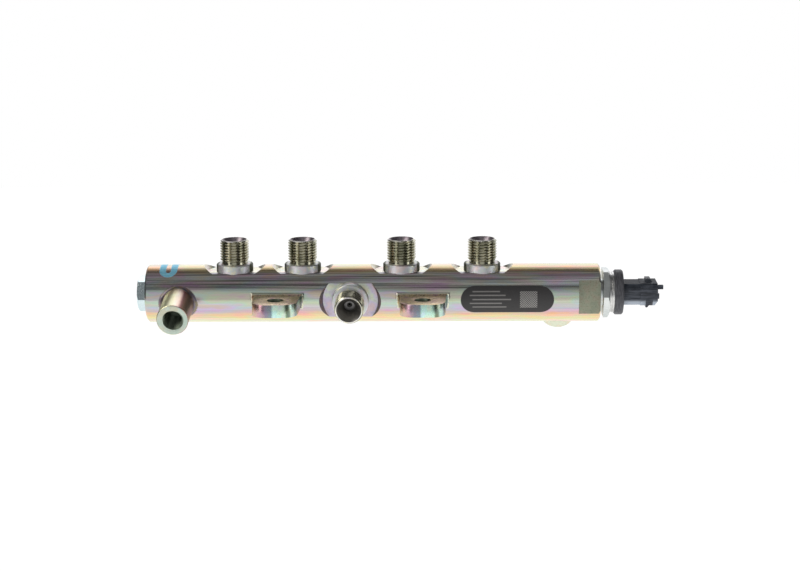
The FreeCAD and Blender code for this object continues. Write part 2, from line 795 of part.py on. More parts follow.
def catch_lower(body):
    """Wedge over the shroud's lower front bevel."""
    bevel_top = "(neck_half_tall + shroud_step - neck_bevel)"
    outer = "(neck_half_tall + shroud_step + corner_catch_height)"
    foot = "(%s + corner_catch_setback)" % NECK_TOP
    across_slab(body, "PartDesign::Pad", "catch_lower", [
        (bevel_top + " - wall_bite", foot),
        (outer, foot),
        (outer, foot + " + corner_catch_flat"),
        (bevel_top, foot + " + corner_catch_length"),
        (bevel_top + " - wall_bite", foot + " + corner_catch_length")],
                "corner_catch_half_width", "corner_catch_aside")


def lip_chamfer(body):
    """Chamfer under the lower lip of the mouth."""
    bottom = "(neck_half_tall + shroud_step)"
    across_slab(body, "PartDesign::Pocket", "lip_chamfer", [
        (bottom, SHROUD_TOP + " - lip_chamfer_length"),
        (bottom + " - lip_chamfer_height", SHROUD_TOP),
        (bottom, SHROUD_TOP)], "(neck_half_deep + shroud_step)")


def mouth(body):
    """Open mouth that takes the plug."""
    pocket_down(body, "mouth", bevelled("mouth_half_tall", "mouth_half_deep", "mouth_bevel"),
                SHROUD_TOP, "mouth_depth")


def ribs(body):
    """Two short ribs on each flank of the neck, level with the shroud."""
    for flank, outwards in (("front", minus), ("back", plus)):
        for name, side in (("upper", minus), ("lower", plus)):
            centre = side("rib_centre")
            outline = rectangle(
                centre + " - rib_width / 2", centre + " + rib_width / 2",
                outwards("neck_half_deep - wall_bite"), outwards("neck_half_deep + shroud_step"))
            pad_up(body, "rib_%s_%s" % (flank, name), outline, NECK_TOP + " - rib_length", "rib_length")


def front_wall_tabs(body):
    """Long tab that codes the plug and short tab that stops it, both on the front wall of the mouth."""
    for name in ("key", "stop"):
        below = minus("%s_centre - %s_half_tall" % (name, name))
        above = minus("%s_centre + %s_half_tall" % (name, name))
        outline = rectangle(above, below, minus("neck_half_deep + shroud_step"), minus("mouth_half_deep"))
        pad_up(body, name + "_tab", outline, SHROUD_TOP, name + "_length")


def pin_holes(body):
    """Holes from the inner room to the mouth, filled by the contacts."""
    floor = "(%s - mouth_depth)" % SHROUD_TOP
    depth = "neck_height + shroud_height - mouth_depth + web_thickness"
    for count, aside in enumerate(PIN_OFFSETS, start=1):
        pocket_down(body, "pin_hole_%d" % count, pin_outline(aside), floor, depth)


def sensor_housing():
    """Black plastic moulding: collar, connector and the holes that hold the pins."""
    body = new_body("sensor_housing")
    housing_shell(body)
    housing_shroud(body)
    catch_upper(body)
    catch_lower(body)
    ribs(body)
    lip_chamfer(body)
    mouth(body)
    front_wall_tabs(body)
    pin_holes(body)
    return stand(body, TOWARDS_RIGHT, SENSOR_STATION)


def check_objects():
    """Stop if anything in the document failed or came out empty."""
    for item in MODEL.Objects:
        if "Invalid" in item.State or "Error" in item.State:
            raise RuntimeError("%s failed to build" % item.Name)
    for piece in SUBPARTS:
        if piece.Shape.isNull() or not piece.Shape.isValid():
            raise RuntimeError("%s has no valid shape" % piece.Label)


def main():
    """Build every piece, check it and write it."""
    rail_body()
    for count, station in enumerate(OUTLET_STATIONS, start=1):
        throttle("throttle_outlet_%d" % count, station, "outlet_tilt")
    throttle("throttle_inlet", "inlet_station", "inlet_tilt")
    end_plug()
    sensor_body()
    sensor_cell()
    sensor_spacer()
    sensor_board()
    board_block("sensor_chip", "chip_offset", "0", "chip_side", "chip_side", "chip_height")
    for count, side in ((1, minus), (2, plus)):
        board_block("sensor_capacitor_%d" % count, minus("chip_offset"), side("capacitor_spacing / 2"),
                    "capacitor_width", "capacitor_length", "capacitor_width")
    for count, aside in enumerate(PIN_OFFSETS, start=1):
        contact_pin("contact_pin_%d" % count, aside)
    crimp_sleeve()
    sealing_ring()
    sensor_housing()
    MODEL.recompute()
    check_objects()
    os.makedirs("parts", exist_ok=True)
    for piece in SUBPARTS:
        piece.Shape.exportStep(os.path.join("parts", piece.Label + ".step"))
        print("%-24s %10.1f mm3" % (piece.Label, piece.Shape.Volume))


main()
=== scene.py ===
import math

import bmesh
import bpy
from mathutils import Euler, Matrix, Vector


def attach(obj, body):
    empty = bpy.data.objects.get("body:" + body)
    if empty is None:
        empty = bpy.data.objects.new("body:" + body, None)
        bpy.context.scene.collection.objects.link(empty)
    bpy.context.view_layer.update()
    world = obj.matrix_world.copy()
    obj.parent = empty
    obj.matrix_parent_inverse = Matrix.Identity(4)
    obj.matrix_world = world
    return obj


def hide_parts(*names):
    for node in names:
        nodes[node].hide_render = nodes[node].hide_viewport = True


# The row frame is in metres: X along the rail, Z up through the outlets, the front is -Y.
# The sizes and places below are in millimetres, and MM turns them into metres.
MM = 0.001
AXIS_Y = 28.4
AXIS_Z = 4.9
RAIL_RADIUS = 16.0
FLAT_START = 124.9

# Ports as station and tilt forward from the vertical, with heights measured from the rail's axis.
OUTLETS = [(-64.4, 0.0), (-26.75, 0.0), (27.8, 0.0), (72.3, 0.0)]
INLET = (0.0, 96.0)
PORTS = OUTLETS + [INLET]
PORT_REACH = 30.4
PORT_NECK_TOP = 18.5
PORT_NECK_RADIUS = 7.1
PORT_THREAD_RADIUS = 8.0
PORT_BASE_TOP = 17.1
PORT_BASE_RADIUS = 10.1
PORT_MOUTH_RADIUS = 6.8
SPOT_FLOOR = 12.8
# The whole of a port's milled spot is nearer than this to the port's axis.
SPOT_LIMIT = 18.5

STUB = (-94.4, 99.5)
STUB_REACH = 39.0
STUB_RADIUS = 8.6
STUB_HOLE_RADIUS = 5.2
STUB_HOLE_DEPTH = 19.0
STUB_THREAD_RADIUS = 6.0
STUB_THREAD_LENGTH = 18.6
STUB_THREAD_MOUTH = 5.4

LUG_STATION = 39.8
LUG_THICKNESS = 7.0
LUG_HOLE_RADIUS = 4.5
COLLAR_END = 149.7
CATCH_STATION = 163.7

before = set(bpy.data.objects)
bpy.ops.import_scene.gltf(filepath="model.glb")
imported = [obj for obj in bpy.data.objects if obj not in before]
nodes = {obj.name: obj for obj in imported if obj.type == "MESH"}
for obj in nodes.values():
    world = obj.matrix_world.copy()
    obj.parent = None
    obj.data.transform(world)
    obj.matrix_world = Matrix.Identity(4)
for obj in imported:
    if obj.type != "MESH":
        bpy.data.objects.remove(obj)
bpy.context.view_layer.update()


def metres(x, y, z):
    """A place given in millimetres, as a vector of metres."""
    return Vector((x * MM, y * MM, z * MM))


def millimetres(vector):
    """The three parts of a vector of metres, in millimetres."""
    return [part / MM for part in vector]


# Node graphs.

class Graph:
    """A material's or the world's node tree, with short ways to add nodes."""

    def __init__(self, owner):
        owner.use_nodes = True
        self.tree = owner.node_tree
        self.tree.nodes.clear()

    def add(self, kind, inputs=None, **settings):
        node = self.tree.nodes.new(kind)
        for name, value in settings.items():
            setattr(node, name, value)
        for name, value in (inputs or {}).items():
            self.feed(node.inputs[name], value)
        return node

    def feed(self, socket, value):
        if isinstance(value, bpy.types.NodeSocket):
            self.tree.links.new(value, socket)
        else:
            socket.default_value = value

    def maths(self, operation, first, second=0.0, clamp=False):
        node = self.add("ShaderNodeMath", operation=operation, use_clamp=clamp)
        for socket, value in zip(node.inputs, (first, second)):
            self.feed(socket, value)
        return node.outputs[0]

    def total(self, first, *others):
        for other in others:
            first = self.maths("ADD", first, other)
        return first

    def product(self, first, *others):
        for other in others:
            first = self.maths("MULTIPLY", first, other)
        return first

    def minus(self, first, second):
        return self.maths("SUBTRACT", first, second)

    def size(self, value):
        return self.maths("ABSOLUTE", value)

    def degrees(self, rise, run):
        return self.maths("DEGREES", self.maths("ARCTAN2", rise, run))

    def step(self, value, start, end):
        """0 at start and before it, 1 at end and past it, smooth between."""
        node = self.add("ShaderNodeMapRange", {"Value": value, "From Min": start, "From Max": end},
                        interpolation_type="SMOOTHSTEP")
        return node.outputs["Result"]

    def window(self, value, rise, fall):
        """Product of two steps, each given by the value where it is 0 and the value where it is 1."""
        return self.product(self.step(value, *rise), self.step(value, *fall))

    def ramp(self, value, stops):
        node = self.add("ShaderNodeValToRGB", {"Fac": value})
        marks = node.color_ramp.elements
        while len(marks) < len(stops):
            marks.new(0.5)
        for mark, (place, color) in zip(marks, stops):
            mark.position = place
            mark.color = (*color, 1.0)
        return node.outputs["Color"]

    def turn_ramp(self, degrees, stops):
        """Colour by angle, with stops from -180 to 180 degrees."""
        share = self.maths("DIVIDE", self.total(degrees, 180.0), 360.0)
        return self.ramp(share, [((degree + 180) / 360, color) for degree, color in stops])

    def noise(self, vector, scale=1.0, detail=3.0, roughness=0.5):
        node = self.add("ShaderNodeTexNoise", {"Vector": vector, "Scale": scale, "Detail": detail,
                                               "Roughness": roughness})
        return node.outputs["Fac"]

    def stretched(self, vector, scales):
        node = self.add("ShaderNodeVectorMath", {0: vector, 1: scales}, operation="MULTIPLY")
        return node.outputs[0]

    def split(self, vector, axes="XYZ"):
        node = self.add("ShaderNodeSeparateXYZ", {"Vector": vector})
        return [node.outputs[axis] for axis in axes]

    def joined(self, x, y, z):
        return self.add("ShaderNodeCombineXYZ", {"X": x, "Y": y, "Z": z}).outputs[0]

    def mix(self, factor, first, second, blend="MIX"):
        node = self.add("ShaderNodeMix", data_type="RGBA", blend_type=blend)
        self.feed(node.inputs["Factor"], factor)
        for socket, value in zip([s for s in node.inputs if s.type == "RGBA"], (first, second)):
            self.feed(socket, value if isinstance(value, bpy.types.NodeSocket) else (*value, 1.0))
        return [s for s in node.outputs if s.type == "RGBA"][0]

    def bump(self, height, strength, distance):
        """Normal of a surface with this relief, whose distance is in millimetres."""
        node = self.add("ShaderNodeBump", {"Height": height, "Strength": strength, "Distance": distance * MM})
        return node.outputs["Normal"]

    def place(self):
        """Object coordinates in millimetres."""
        return self.stretched(self.add("ShaderNodeTexCoord").outputs["Object"], (1 / MM, 1 / MM, 1 / MM))

    def surface(self, kind, shader):
        output = self.add(kind)
        self.tree.links.new(shader.outputs[0], output.inputs["Surface"])

    def finish(self, **inputs):
        shader = self.add("ShaderNodeBsdfPrincipled")
        for name, value in inputs.items():
            self.feed(shader.inputs[name.replace("_", " ")], value)
        self.surface("ShaderNodeOutputMaterial", shader)


# Steel and plastic.

def metal(name, dark, light, roughness, grain=(1.0, 1.0, 1.0), grain_scale=0.8):
    """Steel with a fine grain along one direction and soft patches of tone."""
    material = bpy.data.materials.new(name)
    g = Graph(material)
    place = g.place()
    fine = g.noise(g.stretched(place, grain), grain_scale, detail=4.0, roughness=0.6)
    patches = g.noise(place, 0.09)
    tone = g.total(g.product(fine, 0.45), g.product(patches, 0.55))
    color = g.mix(g.step(tone, 0.3, 0.7), dark, light)
    rough = g.total(roughness - 0.06, g.product(fine, 0.14))
    g.finish(Base_Color=color, Metallic=1.0, Roughness=rough, Normal=g.bump(fine, 0.12, 0.02))
    return material


def plastic(name, dark, light, roughness, scale=1.4):
    """Moulded plastic with a fine eroded grain."""
    material = bpy.data.materials.new(name)
    g = Graph(material)
    place = g.place()
    grain = g.noise(place, scale * 2.2, detail=5.0, roughness=0.7)
    cloud = g.noise(place, scale * 0.12, detail=2.0)
    tone = g.total(g.product(grain, 0.5), g.product(cloud, 0.5))
    rough = g.total(roughness - 0.08, g.product(grain, 0.16))
    g.finish(Base_Color=g.mix(tone, dark, light), Roughness=rough, Normal=g.bump(grain, 0.25, 0.03))
    return material


def housing_plastic():
    """Black moulding: fine lines round the collar, and painted light from below on the connector's paler
    underside.
    """
    material = bpy.data.materials.new("black_plastic")
    g = Graph(material)
    place = g.place()
    x, z = g.split(place, "XZ")
    lines = g.noise(g.stretched(place, (3.2, 0.25, 0.25)), roughness=0.6)
    ribs = g.noise(g.stretched(place, (0.12, 1.3, 1.3)), roughness=0.6)
    grain = g.noise(place, 3.0, detail=5.0, roughness=0.7)
    on_collar = g.step(x, COLLAR_END + 0.5, COLLAR_END - 0.1)
    connector = g.mix(g.step(ribs, 0.35, 0.65), (0.020, 0.024, 0.031), (0.075, 0.085, 0.105))
    collar = g.mix(g.step(lines, 0.35, 0.65), (0.045, 0.046, 0.052), (0.112, 0.113, 0.126))
    from_catch = g.size(g.minus(x, CATCH_STATION))
    clear = g.product(g.minus(1.0, on_collar), g.step(from_catch, 1.8, 2.2))
    # Painted light: the connector's underside is paler, standing in for the light that reaches it from the
    # floor below.
    painted_uplight = g.step(z, AXIS_Z - 1.8, AXIS_Z - 4.6)
    above = g.step(z, AXIS_Z + 3.6, AXIS_Z + 4.6)
    color = g.mix(g.product(painted_uplight, clear, 0.9), g.mix(on_collar, connector, collar), (0.46, 0.52, 0.60))
    rough = g.total(0.36, g.product(grain, 0.16))
    shine = g.minus(0.35, g.product(above, clear, 0.30))
    g.finish(Base_Color=color, Roughness=rough, Specular_IOR_Level=shine, Normal=g.bump(grain, 0.25, 0.03))
    return material


# The round bar: passivated zinc, the marked field and the ring of paint.

# Interference colours round the bar: angle up from the front, then the colour there.
BANDS = [
    (-180, (0.74, 0.66, 0.42)), (-90, (0.78, 0.72, 0.52)), (-62, (0.80, 0.76, 0.56)),
    (-46, (0.84, 0.69, 0.42)), (-35, (0.78, 0.56, 0.39)), (-25, (0.60, 0.48, 0.56)),
    (-17, (0.55, 0.54, 0.63)), (-8, (0.53, 0.58, 0.50)), (4, (0.56, 0.60, 0.50)),
    (18, (0.60, 0.63, 0.61)), (30, (0.66, 0.64, 0.67)), (52, (0.72, 0.63, 0.60)),
    (62, (0.84, 0.62, 0.40)), (72, (0.74, 0.58, 0.38)), (80, (0.60, 0.50, 0.36)),
    (84, (0.60, 0.54, 0.40)), (92, (0.90, 0.85, 0.68)), (140, (0.68, 0.68, 0.52)),
    (180, (0.74, 0.66, 0.42))]
TINTS = [
    (0.32, (1.10, 0.78, 1.00)), (0.40, (1.06, 0.94, 0.90)), (0.47, (0.98, 1.03, 0.86)),
    (0.53, (0.90, 1.04, 1.00)), (0.60, (1.04, 0.90, 1.08)), (0.68, (1.12, 0.92, 0.78))]
# Places on the bar's surface are a station along it and an arc up round it from the front.
# The field's bars are given as level, start and end from its middle.
FIELD_MIDDLE = (85.85, -0.75)
FIELD_HALVES = (7.9, 25.4)
FIELD_BARS = [(4.6, -19.0, -4.0), (2.5, -20.5, -1.0), (0.2, -19.0, 2.0), (-2.0, -20.5, -3.0),
              (-4.2, -19.0, -0.5)]
FIELD_BAR_HALF = 0.36
SQUARE_MIDDLE = (11.6, 0.0)
SQUARE_HALVES = (4.7, 4.7)
RING_MIDDLE = (-100.4, 23.7)
RING_OUTER_HALVES = (4.9, 11.0)
RING_INNER_HALVES = (1.3, 8.0)


def capsule(g, across, along, halves):
    """Signed distance to a stadium whose round ends lie along its second direction."""
    half_across, half_along = halves
    beyond = g.maths("MAXIMUM", g.minus(g.size(along), half_along - half_across), 0.0)
    length = g.maths("SQRT", g.total(g.product(across, across), g.product(beyond, beyond)))
    return g.minus(length, half_across)


def box_mask(g, across, along, centre, halves, soft=0.12):
    """1 inside an upright rectangle, 0 outside."""
    out_across = g.minus(g.size(g.minus(across, centre[0])), halves[0])
    out_along = g.minus(g.size(g.minus(along, centre[1])), halves[1])
    return g.step(g.maths("MAXIMUM", out_across, out_along), soft, -soft)


def marked_field(g, x, arc):
    """The dark marked field's mask, and its plain bars and plain square of cells."""
    field_x = g.minus(x, FIELD_MIDDLE[0])
    field_s = g.minus(arc, FIELD_MIDDLE[1])
    field = g.step(capsule(g, field_s, field_x, FIELD_HALVES), 0.15, -0.15)
    marks = 0.0
    for level, start, end in FIELD_BARS:
        halves = ((end - start) / 2, FIELD_BAR_HALF)
        bar = box_mask(g, field_x, field_s, ((start + end) / 2, level), halves, 0.1)
        marks = g.maths("MAXIMUM", marks, g.product(bar, 0.5))
    checks = g.add("ShaderNodeTexChecker", {"Vector": g.joined(field_x, field_s, 0.0), "Scale": 1.6})
    square = g.product(box_mask(g, field_x, field_s, SQUARE_MIDDLE, SQUARE_HALVES), checks.outputs["Fac"])
    return field, g.maths("MAXIMUM", marks, g.product(square, 0.9))


def paint_ring(g, x, arc):
    """The ring of blue paint on the upper left."""
    ring_x = g.minus(x, RING_MIDDLE[0])
    ring_s = g.minus(arc, RING_MIDDLE[1])
    outer = g.step(capsule(g, ring_x, ring_s, RING_OUTER_HALVES), 0.25, -0.25)
    inner = g.step(capsule(g, ring_x, ring_s, RING_INNER_HALVES), 0.25, -0.25)
    return g.maths("SUBTRACT", outer, inner, clamp=True)


def bar_color(g, place, angle, streak, line):
    """Interference colours in drifting bands, and fine lines, strongest where the bar mirrors the dark."""
    broad = g.noise(g.stretched(place, (0.018, 0.05, 0.05)), roughness=0.55)
    drift = g.total(g.product(g.minus(broad, 0.5), 22.0), g.product(g.minus(streak, 0.5), 12.0))
    band = g.turn_ramp(g.total(angle, drift), BANDS)
    tint = g.ramp(g.noise(g.stretched(place, (0.030, 0.13, 0.13)), roughness=0.6), TINTS)
    in_dark = g.window(angle, (10.0, 26.0), (74.0, 62.0))
    swing = g.total(0.4, g.product(in_dark, 3.4))
    shade = g.total(1.0, g.product(g.minus(line, 0.5), swing))
    return g.mix(1.0, g.mix(1.0, band, tint, "MULTIPLY"), g.joined(shade, shade, shade), "MULTIPLY")


def passivated_bar():
    """Yellow-passivated zinc on the round bar, with the marked field and the ring of paint."""
    material = bpy.data.materials.new("passivated_bar")
    g = Graph(material)
    place = g.place()
    x, y, z = g.split(place)
    angle = g.degrees(g.minus(z, AXIS_Z), g.minus(AXIS_Y, y))
    arc = g.product(g.maths("RADIANS", angle), RAIL_RADIUS)
    streak = g.noise(g.stretched(place, (0.02, 1.1, 1.1)), detail=5.0, roughness=0.7)
    line = g.noise(g.stretched(place, (0.010, 0.9, 0.9)), roughness=0.65)
    pits = g.noise(g.stretched(place, (1.2, 2.4, 2.4)), detail=4.0, roughness=0.6)
    color = bar_color(g, place, angle, streak, line)
    field, marks = marked_field(g, x, arc)
    soot = g.mix(pits, (0.034, 0.033, 0.033), (0.060, 0.058, 0.058))
    color = g.mix(field, color, g.mix(marks, soot, (0.40, 0.39, 0.37)))
    paint = paint_ring(g, x, arc)
    color = g.mix(paint, color, g.mix(g.step(streak, 0.35, 0.65), (0.20, 0.70, 0.98), (0.40, 0.84, 1.0)))
    dull = g.maths("MAXIMUM", g.product(field, 0.6), g.product(paint, 0.5))
    covered = g.maths("MAXIMUM", field, paint)
    rough = g.total(0.15, g.product(streak, 0.14), g.product(covered, 0.22))
    relief = g.total(g.product(streak, 0.5), g.product(line, 0.5))
    g.finish(Base_Color=color, Metallic=g.minus(1.0, dull), Roughness=rough,
             Normal=g.bump(relief, 0.35, 0.05))
    return material


# The forging's other zones.

LUG_SIDE_TINTS = [
    (0.36, (1.0, 0.86, 0.90)), (0.45, (1.0, 0.98, 0.84)),
    (0.54, (0.86, 1.0, 0.94)), (0.64, (0.92, 0.90, 1.0))]
STUB_TINTS = [
    (0.40, (1.0, 0.94, 0.92)), (0.50, (1.0, 1.0, 0.92)), (0.60, (0.96, 1.0, 0.96))]
# Colours across a lug's side and across the stub, from left to right: zinc colours with painted highlights in
# the pale bands and painted shade in the dark bands.
LUG_SIDE_COLORS_AND_PAINTED_LIGHT = [
    (0.04, (0.62, 0.46, 0.30)), (0.14, (0.80, 0.50, 0.46)), (0.24, (0.62, 0.38, 0.46)),
    (0.34, (0.30, 0.30, 0.40)), (0.45, (0.28, 0.32, 0.38)), (0.49, (0.70, 0.94, 0.90)),
    (0.74, (0.68, 0.90, 0.76)), (0.77, (0.22, 0.28, 0.20)), (0.83, (0.26, 0.30, 0.24)),
    (0.86, (0.66, 0.80, 0.72)), (0.91, (0.60, 0.74, 0.68)), (0.94, (0.28, 0.32, 0.34))]
STUB_COLORS_AND_PAINTED_LIGHT = [
    (0.18, (0.34, 0.30, 0.18)), (0.26, (0.80, 0.74, 0.48)), (0.32, (1.0, 0.95, 0.64)),
    (0.48, (1.0, 0.94, 0.66)), (0.57, (1.0, 0.88, 0.78)), (0.63, (0.95, 0.70, 0.62)),
    (0.67, (0.42, 0.19, 0.20)), (0.73, (0.56, 0.35, 0.27)), (0.84, (0.34, 0.24, 0.20))]
# The width that these two lists of colours are spread over.
ACROSS_WIDTH = 26.0


def lug_middle(g, x):
    return g.product(g.maths("SIGN", x), LUG_STATION)


def stub_middle(g, x):
    return STUB[0]


def colors_and_painted_light_across(g, x, grain, middle, stops):
    """Colour, with painted highlights and painted shade, by the place across a form, with wandering edges."""
    wander = g.product(g.minus(grain, 0.5), 1.6)
    from_middle = g.total(g.minus(x, middle(g, x)), wander)
    return g.ramp(g.total(0.5, g.maths("DIVIDE", from_middle, ACROSS_WIDTH)), stops)


def painted_shade_at_foot_ends(g, x):
    """Where painted shade goes: 1 at the left and right ends of the outlets' feet, 0 elsewhere along the
    rail.
    """
    aside = 100.0
    for station, tilt in OUTLETS:
        aside = g.maths("MINIMUM", g.size(g.minus(x, station)), aside)
    return g.window(aside, (8.2, 9.0), (13.0, 12.0))


def passivated(name, stops, roughness, scale, speckle=0.0, bump=0.2, across=None, front=None, foot_end_shade=None):
    """Passivated zinc whose colour drifts from place to place.

    Across is a form's middle and the colours across it, with painted highlights and painted shade in them;
    front the colour on the bar's front side, a painted reflection of the dark port; and foot_end_shade the
    colour of the outlets' feet at their left and right, a painted shade.
    """
    material = bpy.data.materials.new(name)
    g = Graph(material)
    place = g.place()
    x, y = g.split(place, "XY")
    grain = g.noise(place, 1.3, detail=5.0, roughness=0.65)
    color = g.ramp(g.noise(place, scale, roughness=0.6), stops)
    if across:
        color = g.mix(1.0, colors_and_painted_light_across(g, x, grain, *across), color, "MULTIPLY")
    # Painted reflection: the side in front of the rail's axis takes the front colour, standing in for the
    # dark port mirrored there.
    if front:
        color = g.mix(g.step(g.minus(y, AXIS_Y), -4.5, -6.5), color, front)
    # Painted shade: the outlets' feet are darkened at their left and right ends.
    if foot_end_shade:
        color = g.mix(painted_shade_at_foot_ends(g, x), color, foot_end_shade)
    color = g.mix(g.product(g.step(grain, 0.48, 0.66), speckle), color, (0.10, 0.08, 0.05))
    rough = g.total(roughness - 0.06, g.product(grain, 0.14))
    g.finish(Base_Color=color, Metallic=1.0, Roughness=rough, Normal=g.bump(grain, bump, 0.08))
    return material


bar_zinc = passivated_bar()
# The collars' dark colour at the left and right of the outlets' feet is painted shade.
collar_zinc = passivated("collar_zinc", [
    (0.36, (0.78, 0.68, 0.66)), (0.46, (0.72, 0.70, 0.74)),
    (0.54, (0.66, 0.72, 0.70)), (0.64, (0.84, 0.80, 0.62))],
    roughness=0.48, scale=0.20, foot_end_shade=(0.14, 0.15, 0.11))
# The spots' dark grey front colour is a painted reflection of the port.
spot_zinc = passivated("spot_zinc", [
    (0.36, (0.96, 0.78, 0.74)), (0.46, (0.96, 0.90, 0.82)),
    (0.55, (0.96, 0.92, 0.68)), (0.64, (0.82, 0.90, 0.86))],
    roughness=0.32, scale=0.16, speckle=0.55, bump=0.6, front=(0.34, 0.33, 0.36))
inlet_spot_zinc = passivated("inlet_spot_zinc", [
    (0.36, (0.60, 0.48, 0.50)), (0.46, (0.52, 0.47, 0.60)),
    (0.55, (0.54, 0.60, 0.50)), (0.64, (0.60, 0.58, 0.44))],
    roughness=0.34, scale=0.10, speckle=0.2, bump=0.4)
# Painted shade: the dark zinc of the inlet spot's sloping wall and of the crease round the stub's root.
painted_shade_zinc = passivated("painted_shade_zinc", [
    (0.38, (0.34, 0.24, 0.20)), (0.50, (0.22, 0.20, 0.26)), (0.60, (0.30, 0.26, 0.18))],
    roughness=0.40, scale=0.2, speckle=0.2, bump=0.4)
rim_zinc = passivated("rim_zinc", [
    (0.38, (0.86, 0.82, 0.84)), (0.50, (0.84, 0.84, 0.76)), (0.60, (0.90, 0.86, 0.70))],
    roughness=0.34, scale=0.3, speckle=0.2)
pad_zinc = passivated("pad_zinc", [
    (0.38, (0.76, 0.76, 0.58)), (0.50, (0.74, 0.78, 0.62)), (0.60, (0.80, 0.72, 0.54))],
    roughness=0.34, scale=0.2, speckle=0.1)
lug_top_zinc = passivated("lug_top_zinc", [
    (0.36, (1.0, 0.80, 0.48)), (0.46, (0.74, 0.62, 0.42)),
    (0.55, (1.0, 0.80, 0.58)), (0.64, (0.72, 0.50, 0.50))],
    roughness=0.42, scale=0.22, speckle=0.85, bump=0.9)
# The lugs' sides and the stub carry painted highlights and painted shade in their colours across them.
lug_side_zinc = passivated("lug_side_zinc", LUG_SIDE_TINTS, roughness=0.26, scale=0.2, speckle=0.12,
                           across=(lug_middle, LUG_SIDE_COLORS_AND_PAINTED_LIGHT))
stub_zinc = passivated("stub_zinc", STUB_TINTS, roughness=0.36, scale=0.12, speckle=0.12,
                       across=(stub_middle, STUB_COLORS_AND_PAINTED_LIGHT))
stub_face_zinc = passivated("stub_face_zinc", [
    (0.38, (0.48, 0.58, 0.50)), (0.50, (0.54, 0.61, 0.53)), (0.60, (0.56, 0.56, 0.44))],
    roughness=0.28, scale=0.14, speckle=0.10)
flat_zinc = passivated("flat_zinc", [
    (0.36, (0.30, 0.33, 0.25)), (0.50, (0.34, 0.36, 0.27)), (0.62, (0.36, 0.34, 0.26))],
    roughness=0.46, scale=0.3, speckle=0.4, bump=0.6)
thread_zinc = metal("thread_zinc", (0.20, 0.21, 0.13), (0.56, 0.53, 0.41), 0.16, (0.4, 0.4, 2.0), 1.0)
# Painted light: the outlets' mouths get a paler steel than the inlet's bore, for the light seen on their
# inner walls.
mouth_steel_painted_light = metal("mouth_steel_painted_light", (0.30, 0.25, 0.29), (0.50, 0.46, 0.48), 0.36)
bore_steel = metal("bore_steel", (0.20, 0.19, 0.18), (0.34, 0.33, 0.30), 0.42)
stub_bore_steel = metal("stub_bore_steel", (0.10, 0.12, 0.09), (0.20, 0.24, 0.18), 0.38)


# The other pieces: the CAD meshes with a finish, some of them with softened edges.

plug_zinc = metal("plug_zinc", (0.58, 0.71, 0.73), (0.70, 0.82, 0.84), 0.24)
hexagon_steel = metal("hexagon_steel", (0.55, 0.59, 0.58), (0.76, 0.79, 0.77), 0.30, (0.5, 2.0, 2.0), 1.0)
crimp_steel = metal("crimp_steel", (0.42, 0.42, 0.41), (0.78, 0.78, 0.76), 0.24, (3.0, 0.4, 0.4), 1.0)
cell_steel = metal("cell_steel", (0.50, 0.50, 0.50), (0.66, 0.66, 0.66), 0.28)
throttle_steel = metal("throttle_steel", (0.12, 0.12, 0.12), (0.22, 0.215, 0.21), 0.40)
contact_tin = metal("contact_tin", (0.62, 0.53, 0.34), (0.80, 0.70, 0.46), 0.28)
black_plastic = housing_plastic()
ivory_plastic = plastic("ivory_plastic", (0.60, 0.57, 0.48), (0.74, 0.71, 0.62), 0.45)
board_green = plastic("board_green", (0.02, 0.13, 0.05), (0.04, 0.20, 0.09), 0.38, 0.8)
chip_black = plastic("chip_black", (0.015, 0.015, 0.016), (0.035, 0.035, 0.037), 0.50)
ceramic_tan = plastic("ceramic_tan", (0.38, 0.28, 0.18), (0.52, 0.40, 0.27), 0.40)
seal_rubber = plastic("seal_rubber", (0.012, 0.012, 0.012), (0.028, 0.028, 0.028), 0.60)

FINISHES = {
    "end_plug": plug_zinc, "sensor_body": hexagon_steel, "sensor_crimp_sleeve": crimp_steel,
    "sensor_cell": cell_steel, "sensor_spacer": ivory_plastic, "sensor_board": board_green,
    "sensor_chip": chip_black, "sensor_o_ring": seal_rubber, "sensor_housing": black_plastic,
    "throttle_inlet": throttle_steel}
FINISHES.update({"sensor_capacitor_%d" % count: ceramic_tan for count in (1, 2)})
FINISHES.update({"contact_pin_%d" % count: contact_tin for count in (1, 2, 3)})
FINISHES.update({"throttle_outlet_%d" % count: throttle_steel for count in (1, 2, 3, 4)})
SOFT_EDGES = {"end_plug": 0.25, "sensor_body": 0.2, "sensor_crimp_sleeve": 0.12, "sensor_housing": 0.3}
WELD_DISTANCE = 0.0005

# An edge that turns by more than this is softened or kept sharp. The plain forging and the threads
# have their own.
EDGE_TURN = math.radians(30)
FORGING_EDGE_TURN = math.radians(28)
THREAD_EDGE_TURN = math.radians(32)


def soften(piece, width):
    """Weld the piece's split edges and round the sharp ones."""
    weld = piece.modifiers.new("weld", "WELD")
    weld.merge_threshold = WELD_DISTANCE * MM
    bevel = piece.modifiers.new("soft_edges", "BEVEL")
    bevel.width = width * MM
    bevel.segments = 2
    bevel.limit_method = "ANGLE"
    bevel.angle_limit = EDGE_TURN
    bevel.harden_normals = False


def finish_pieces():
    """Give each CAD piece its material, and soft edges where it has them."""
    for name, material in FINISHES.items():
        piece = nodes[name]
        piece.data.materials.clear()
        piece.data.materials.append(material)
        if name in SOFT_EDGES:
            soften(piece, SOFT_EDGES[name])


# The threads.

THREAD_PITCH = 1.5
THREAD_TURN_STEPS = 56
THREAD_ROWS_PER_TURN = 10


def port_frame(station, tilt):
    """Matrix from a port's own frame, Z along it from the rail's axis, to the row frame."""
    return Matrix.Translation(metres(station, AXIS_Y, AXIS_Z)) @ Matrix.Rotation(math.radians(tilt), 4, "X")


def round_place(to_axis, point):
    """A point's distance from an axis and its height along it, in millimetres."""
    local = to_axis @ point
    return math.hypot(local.x, local.y) / MM, local.z / MM


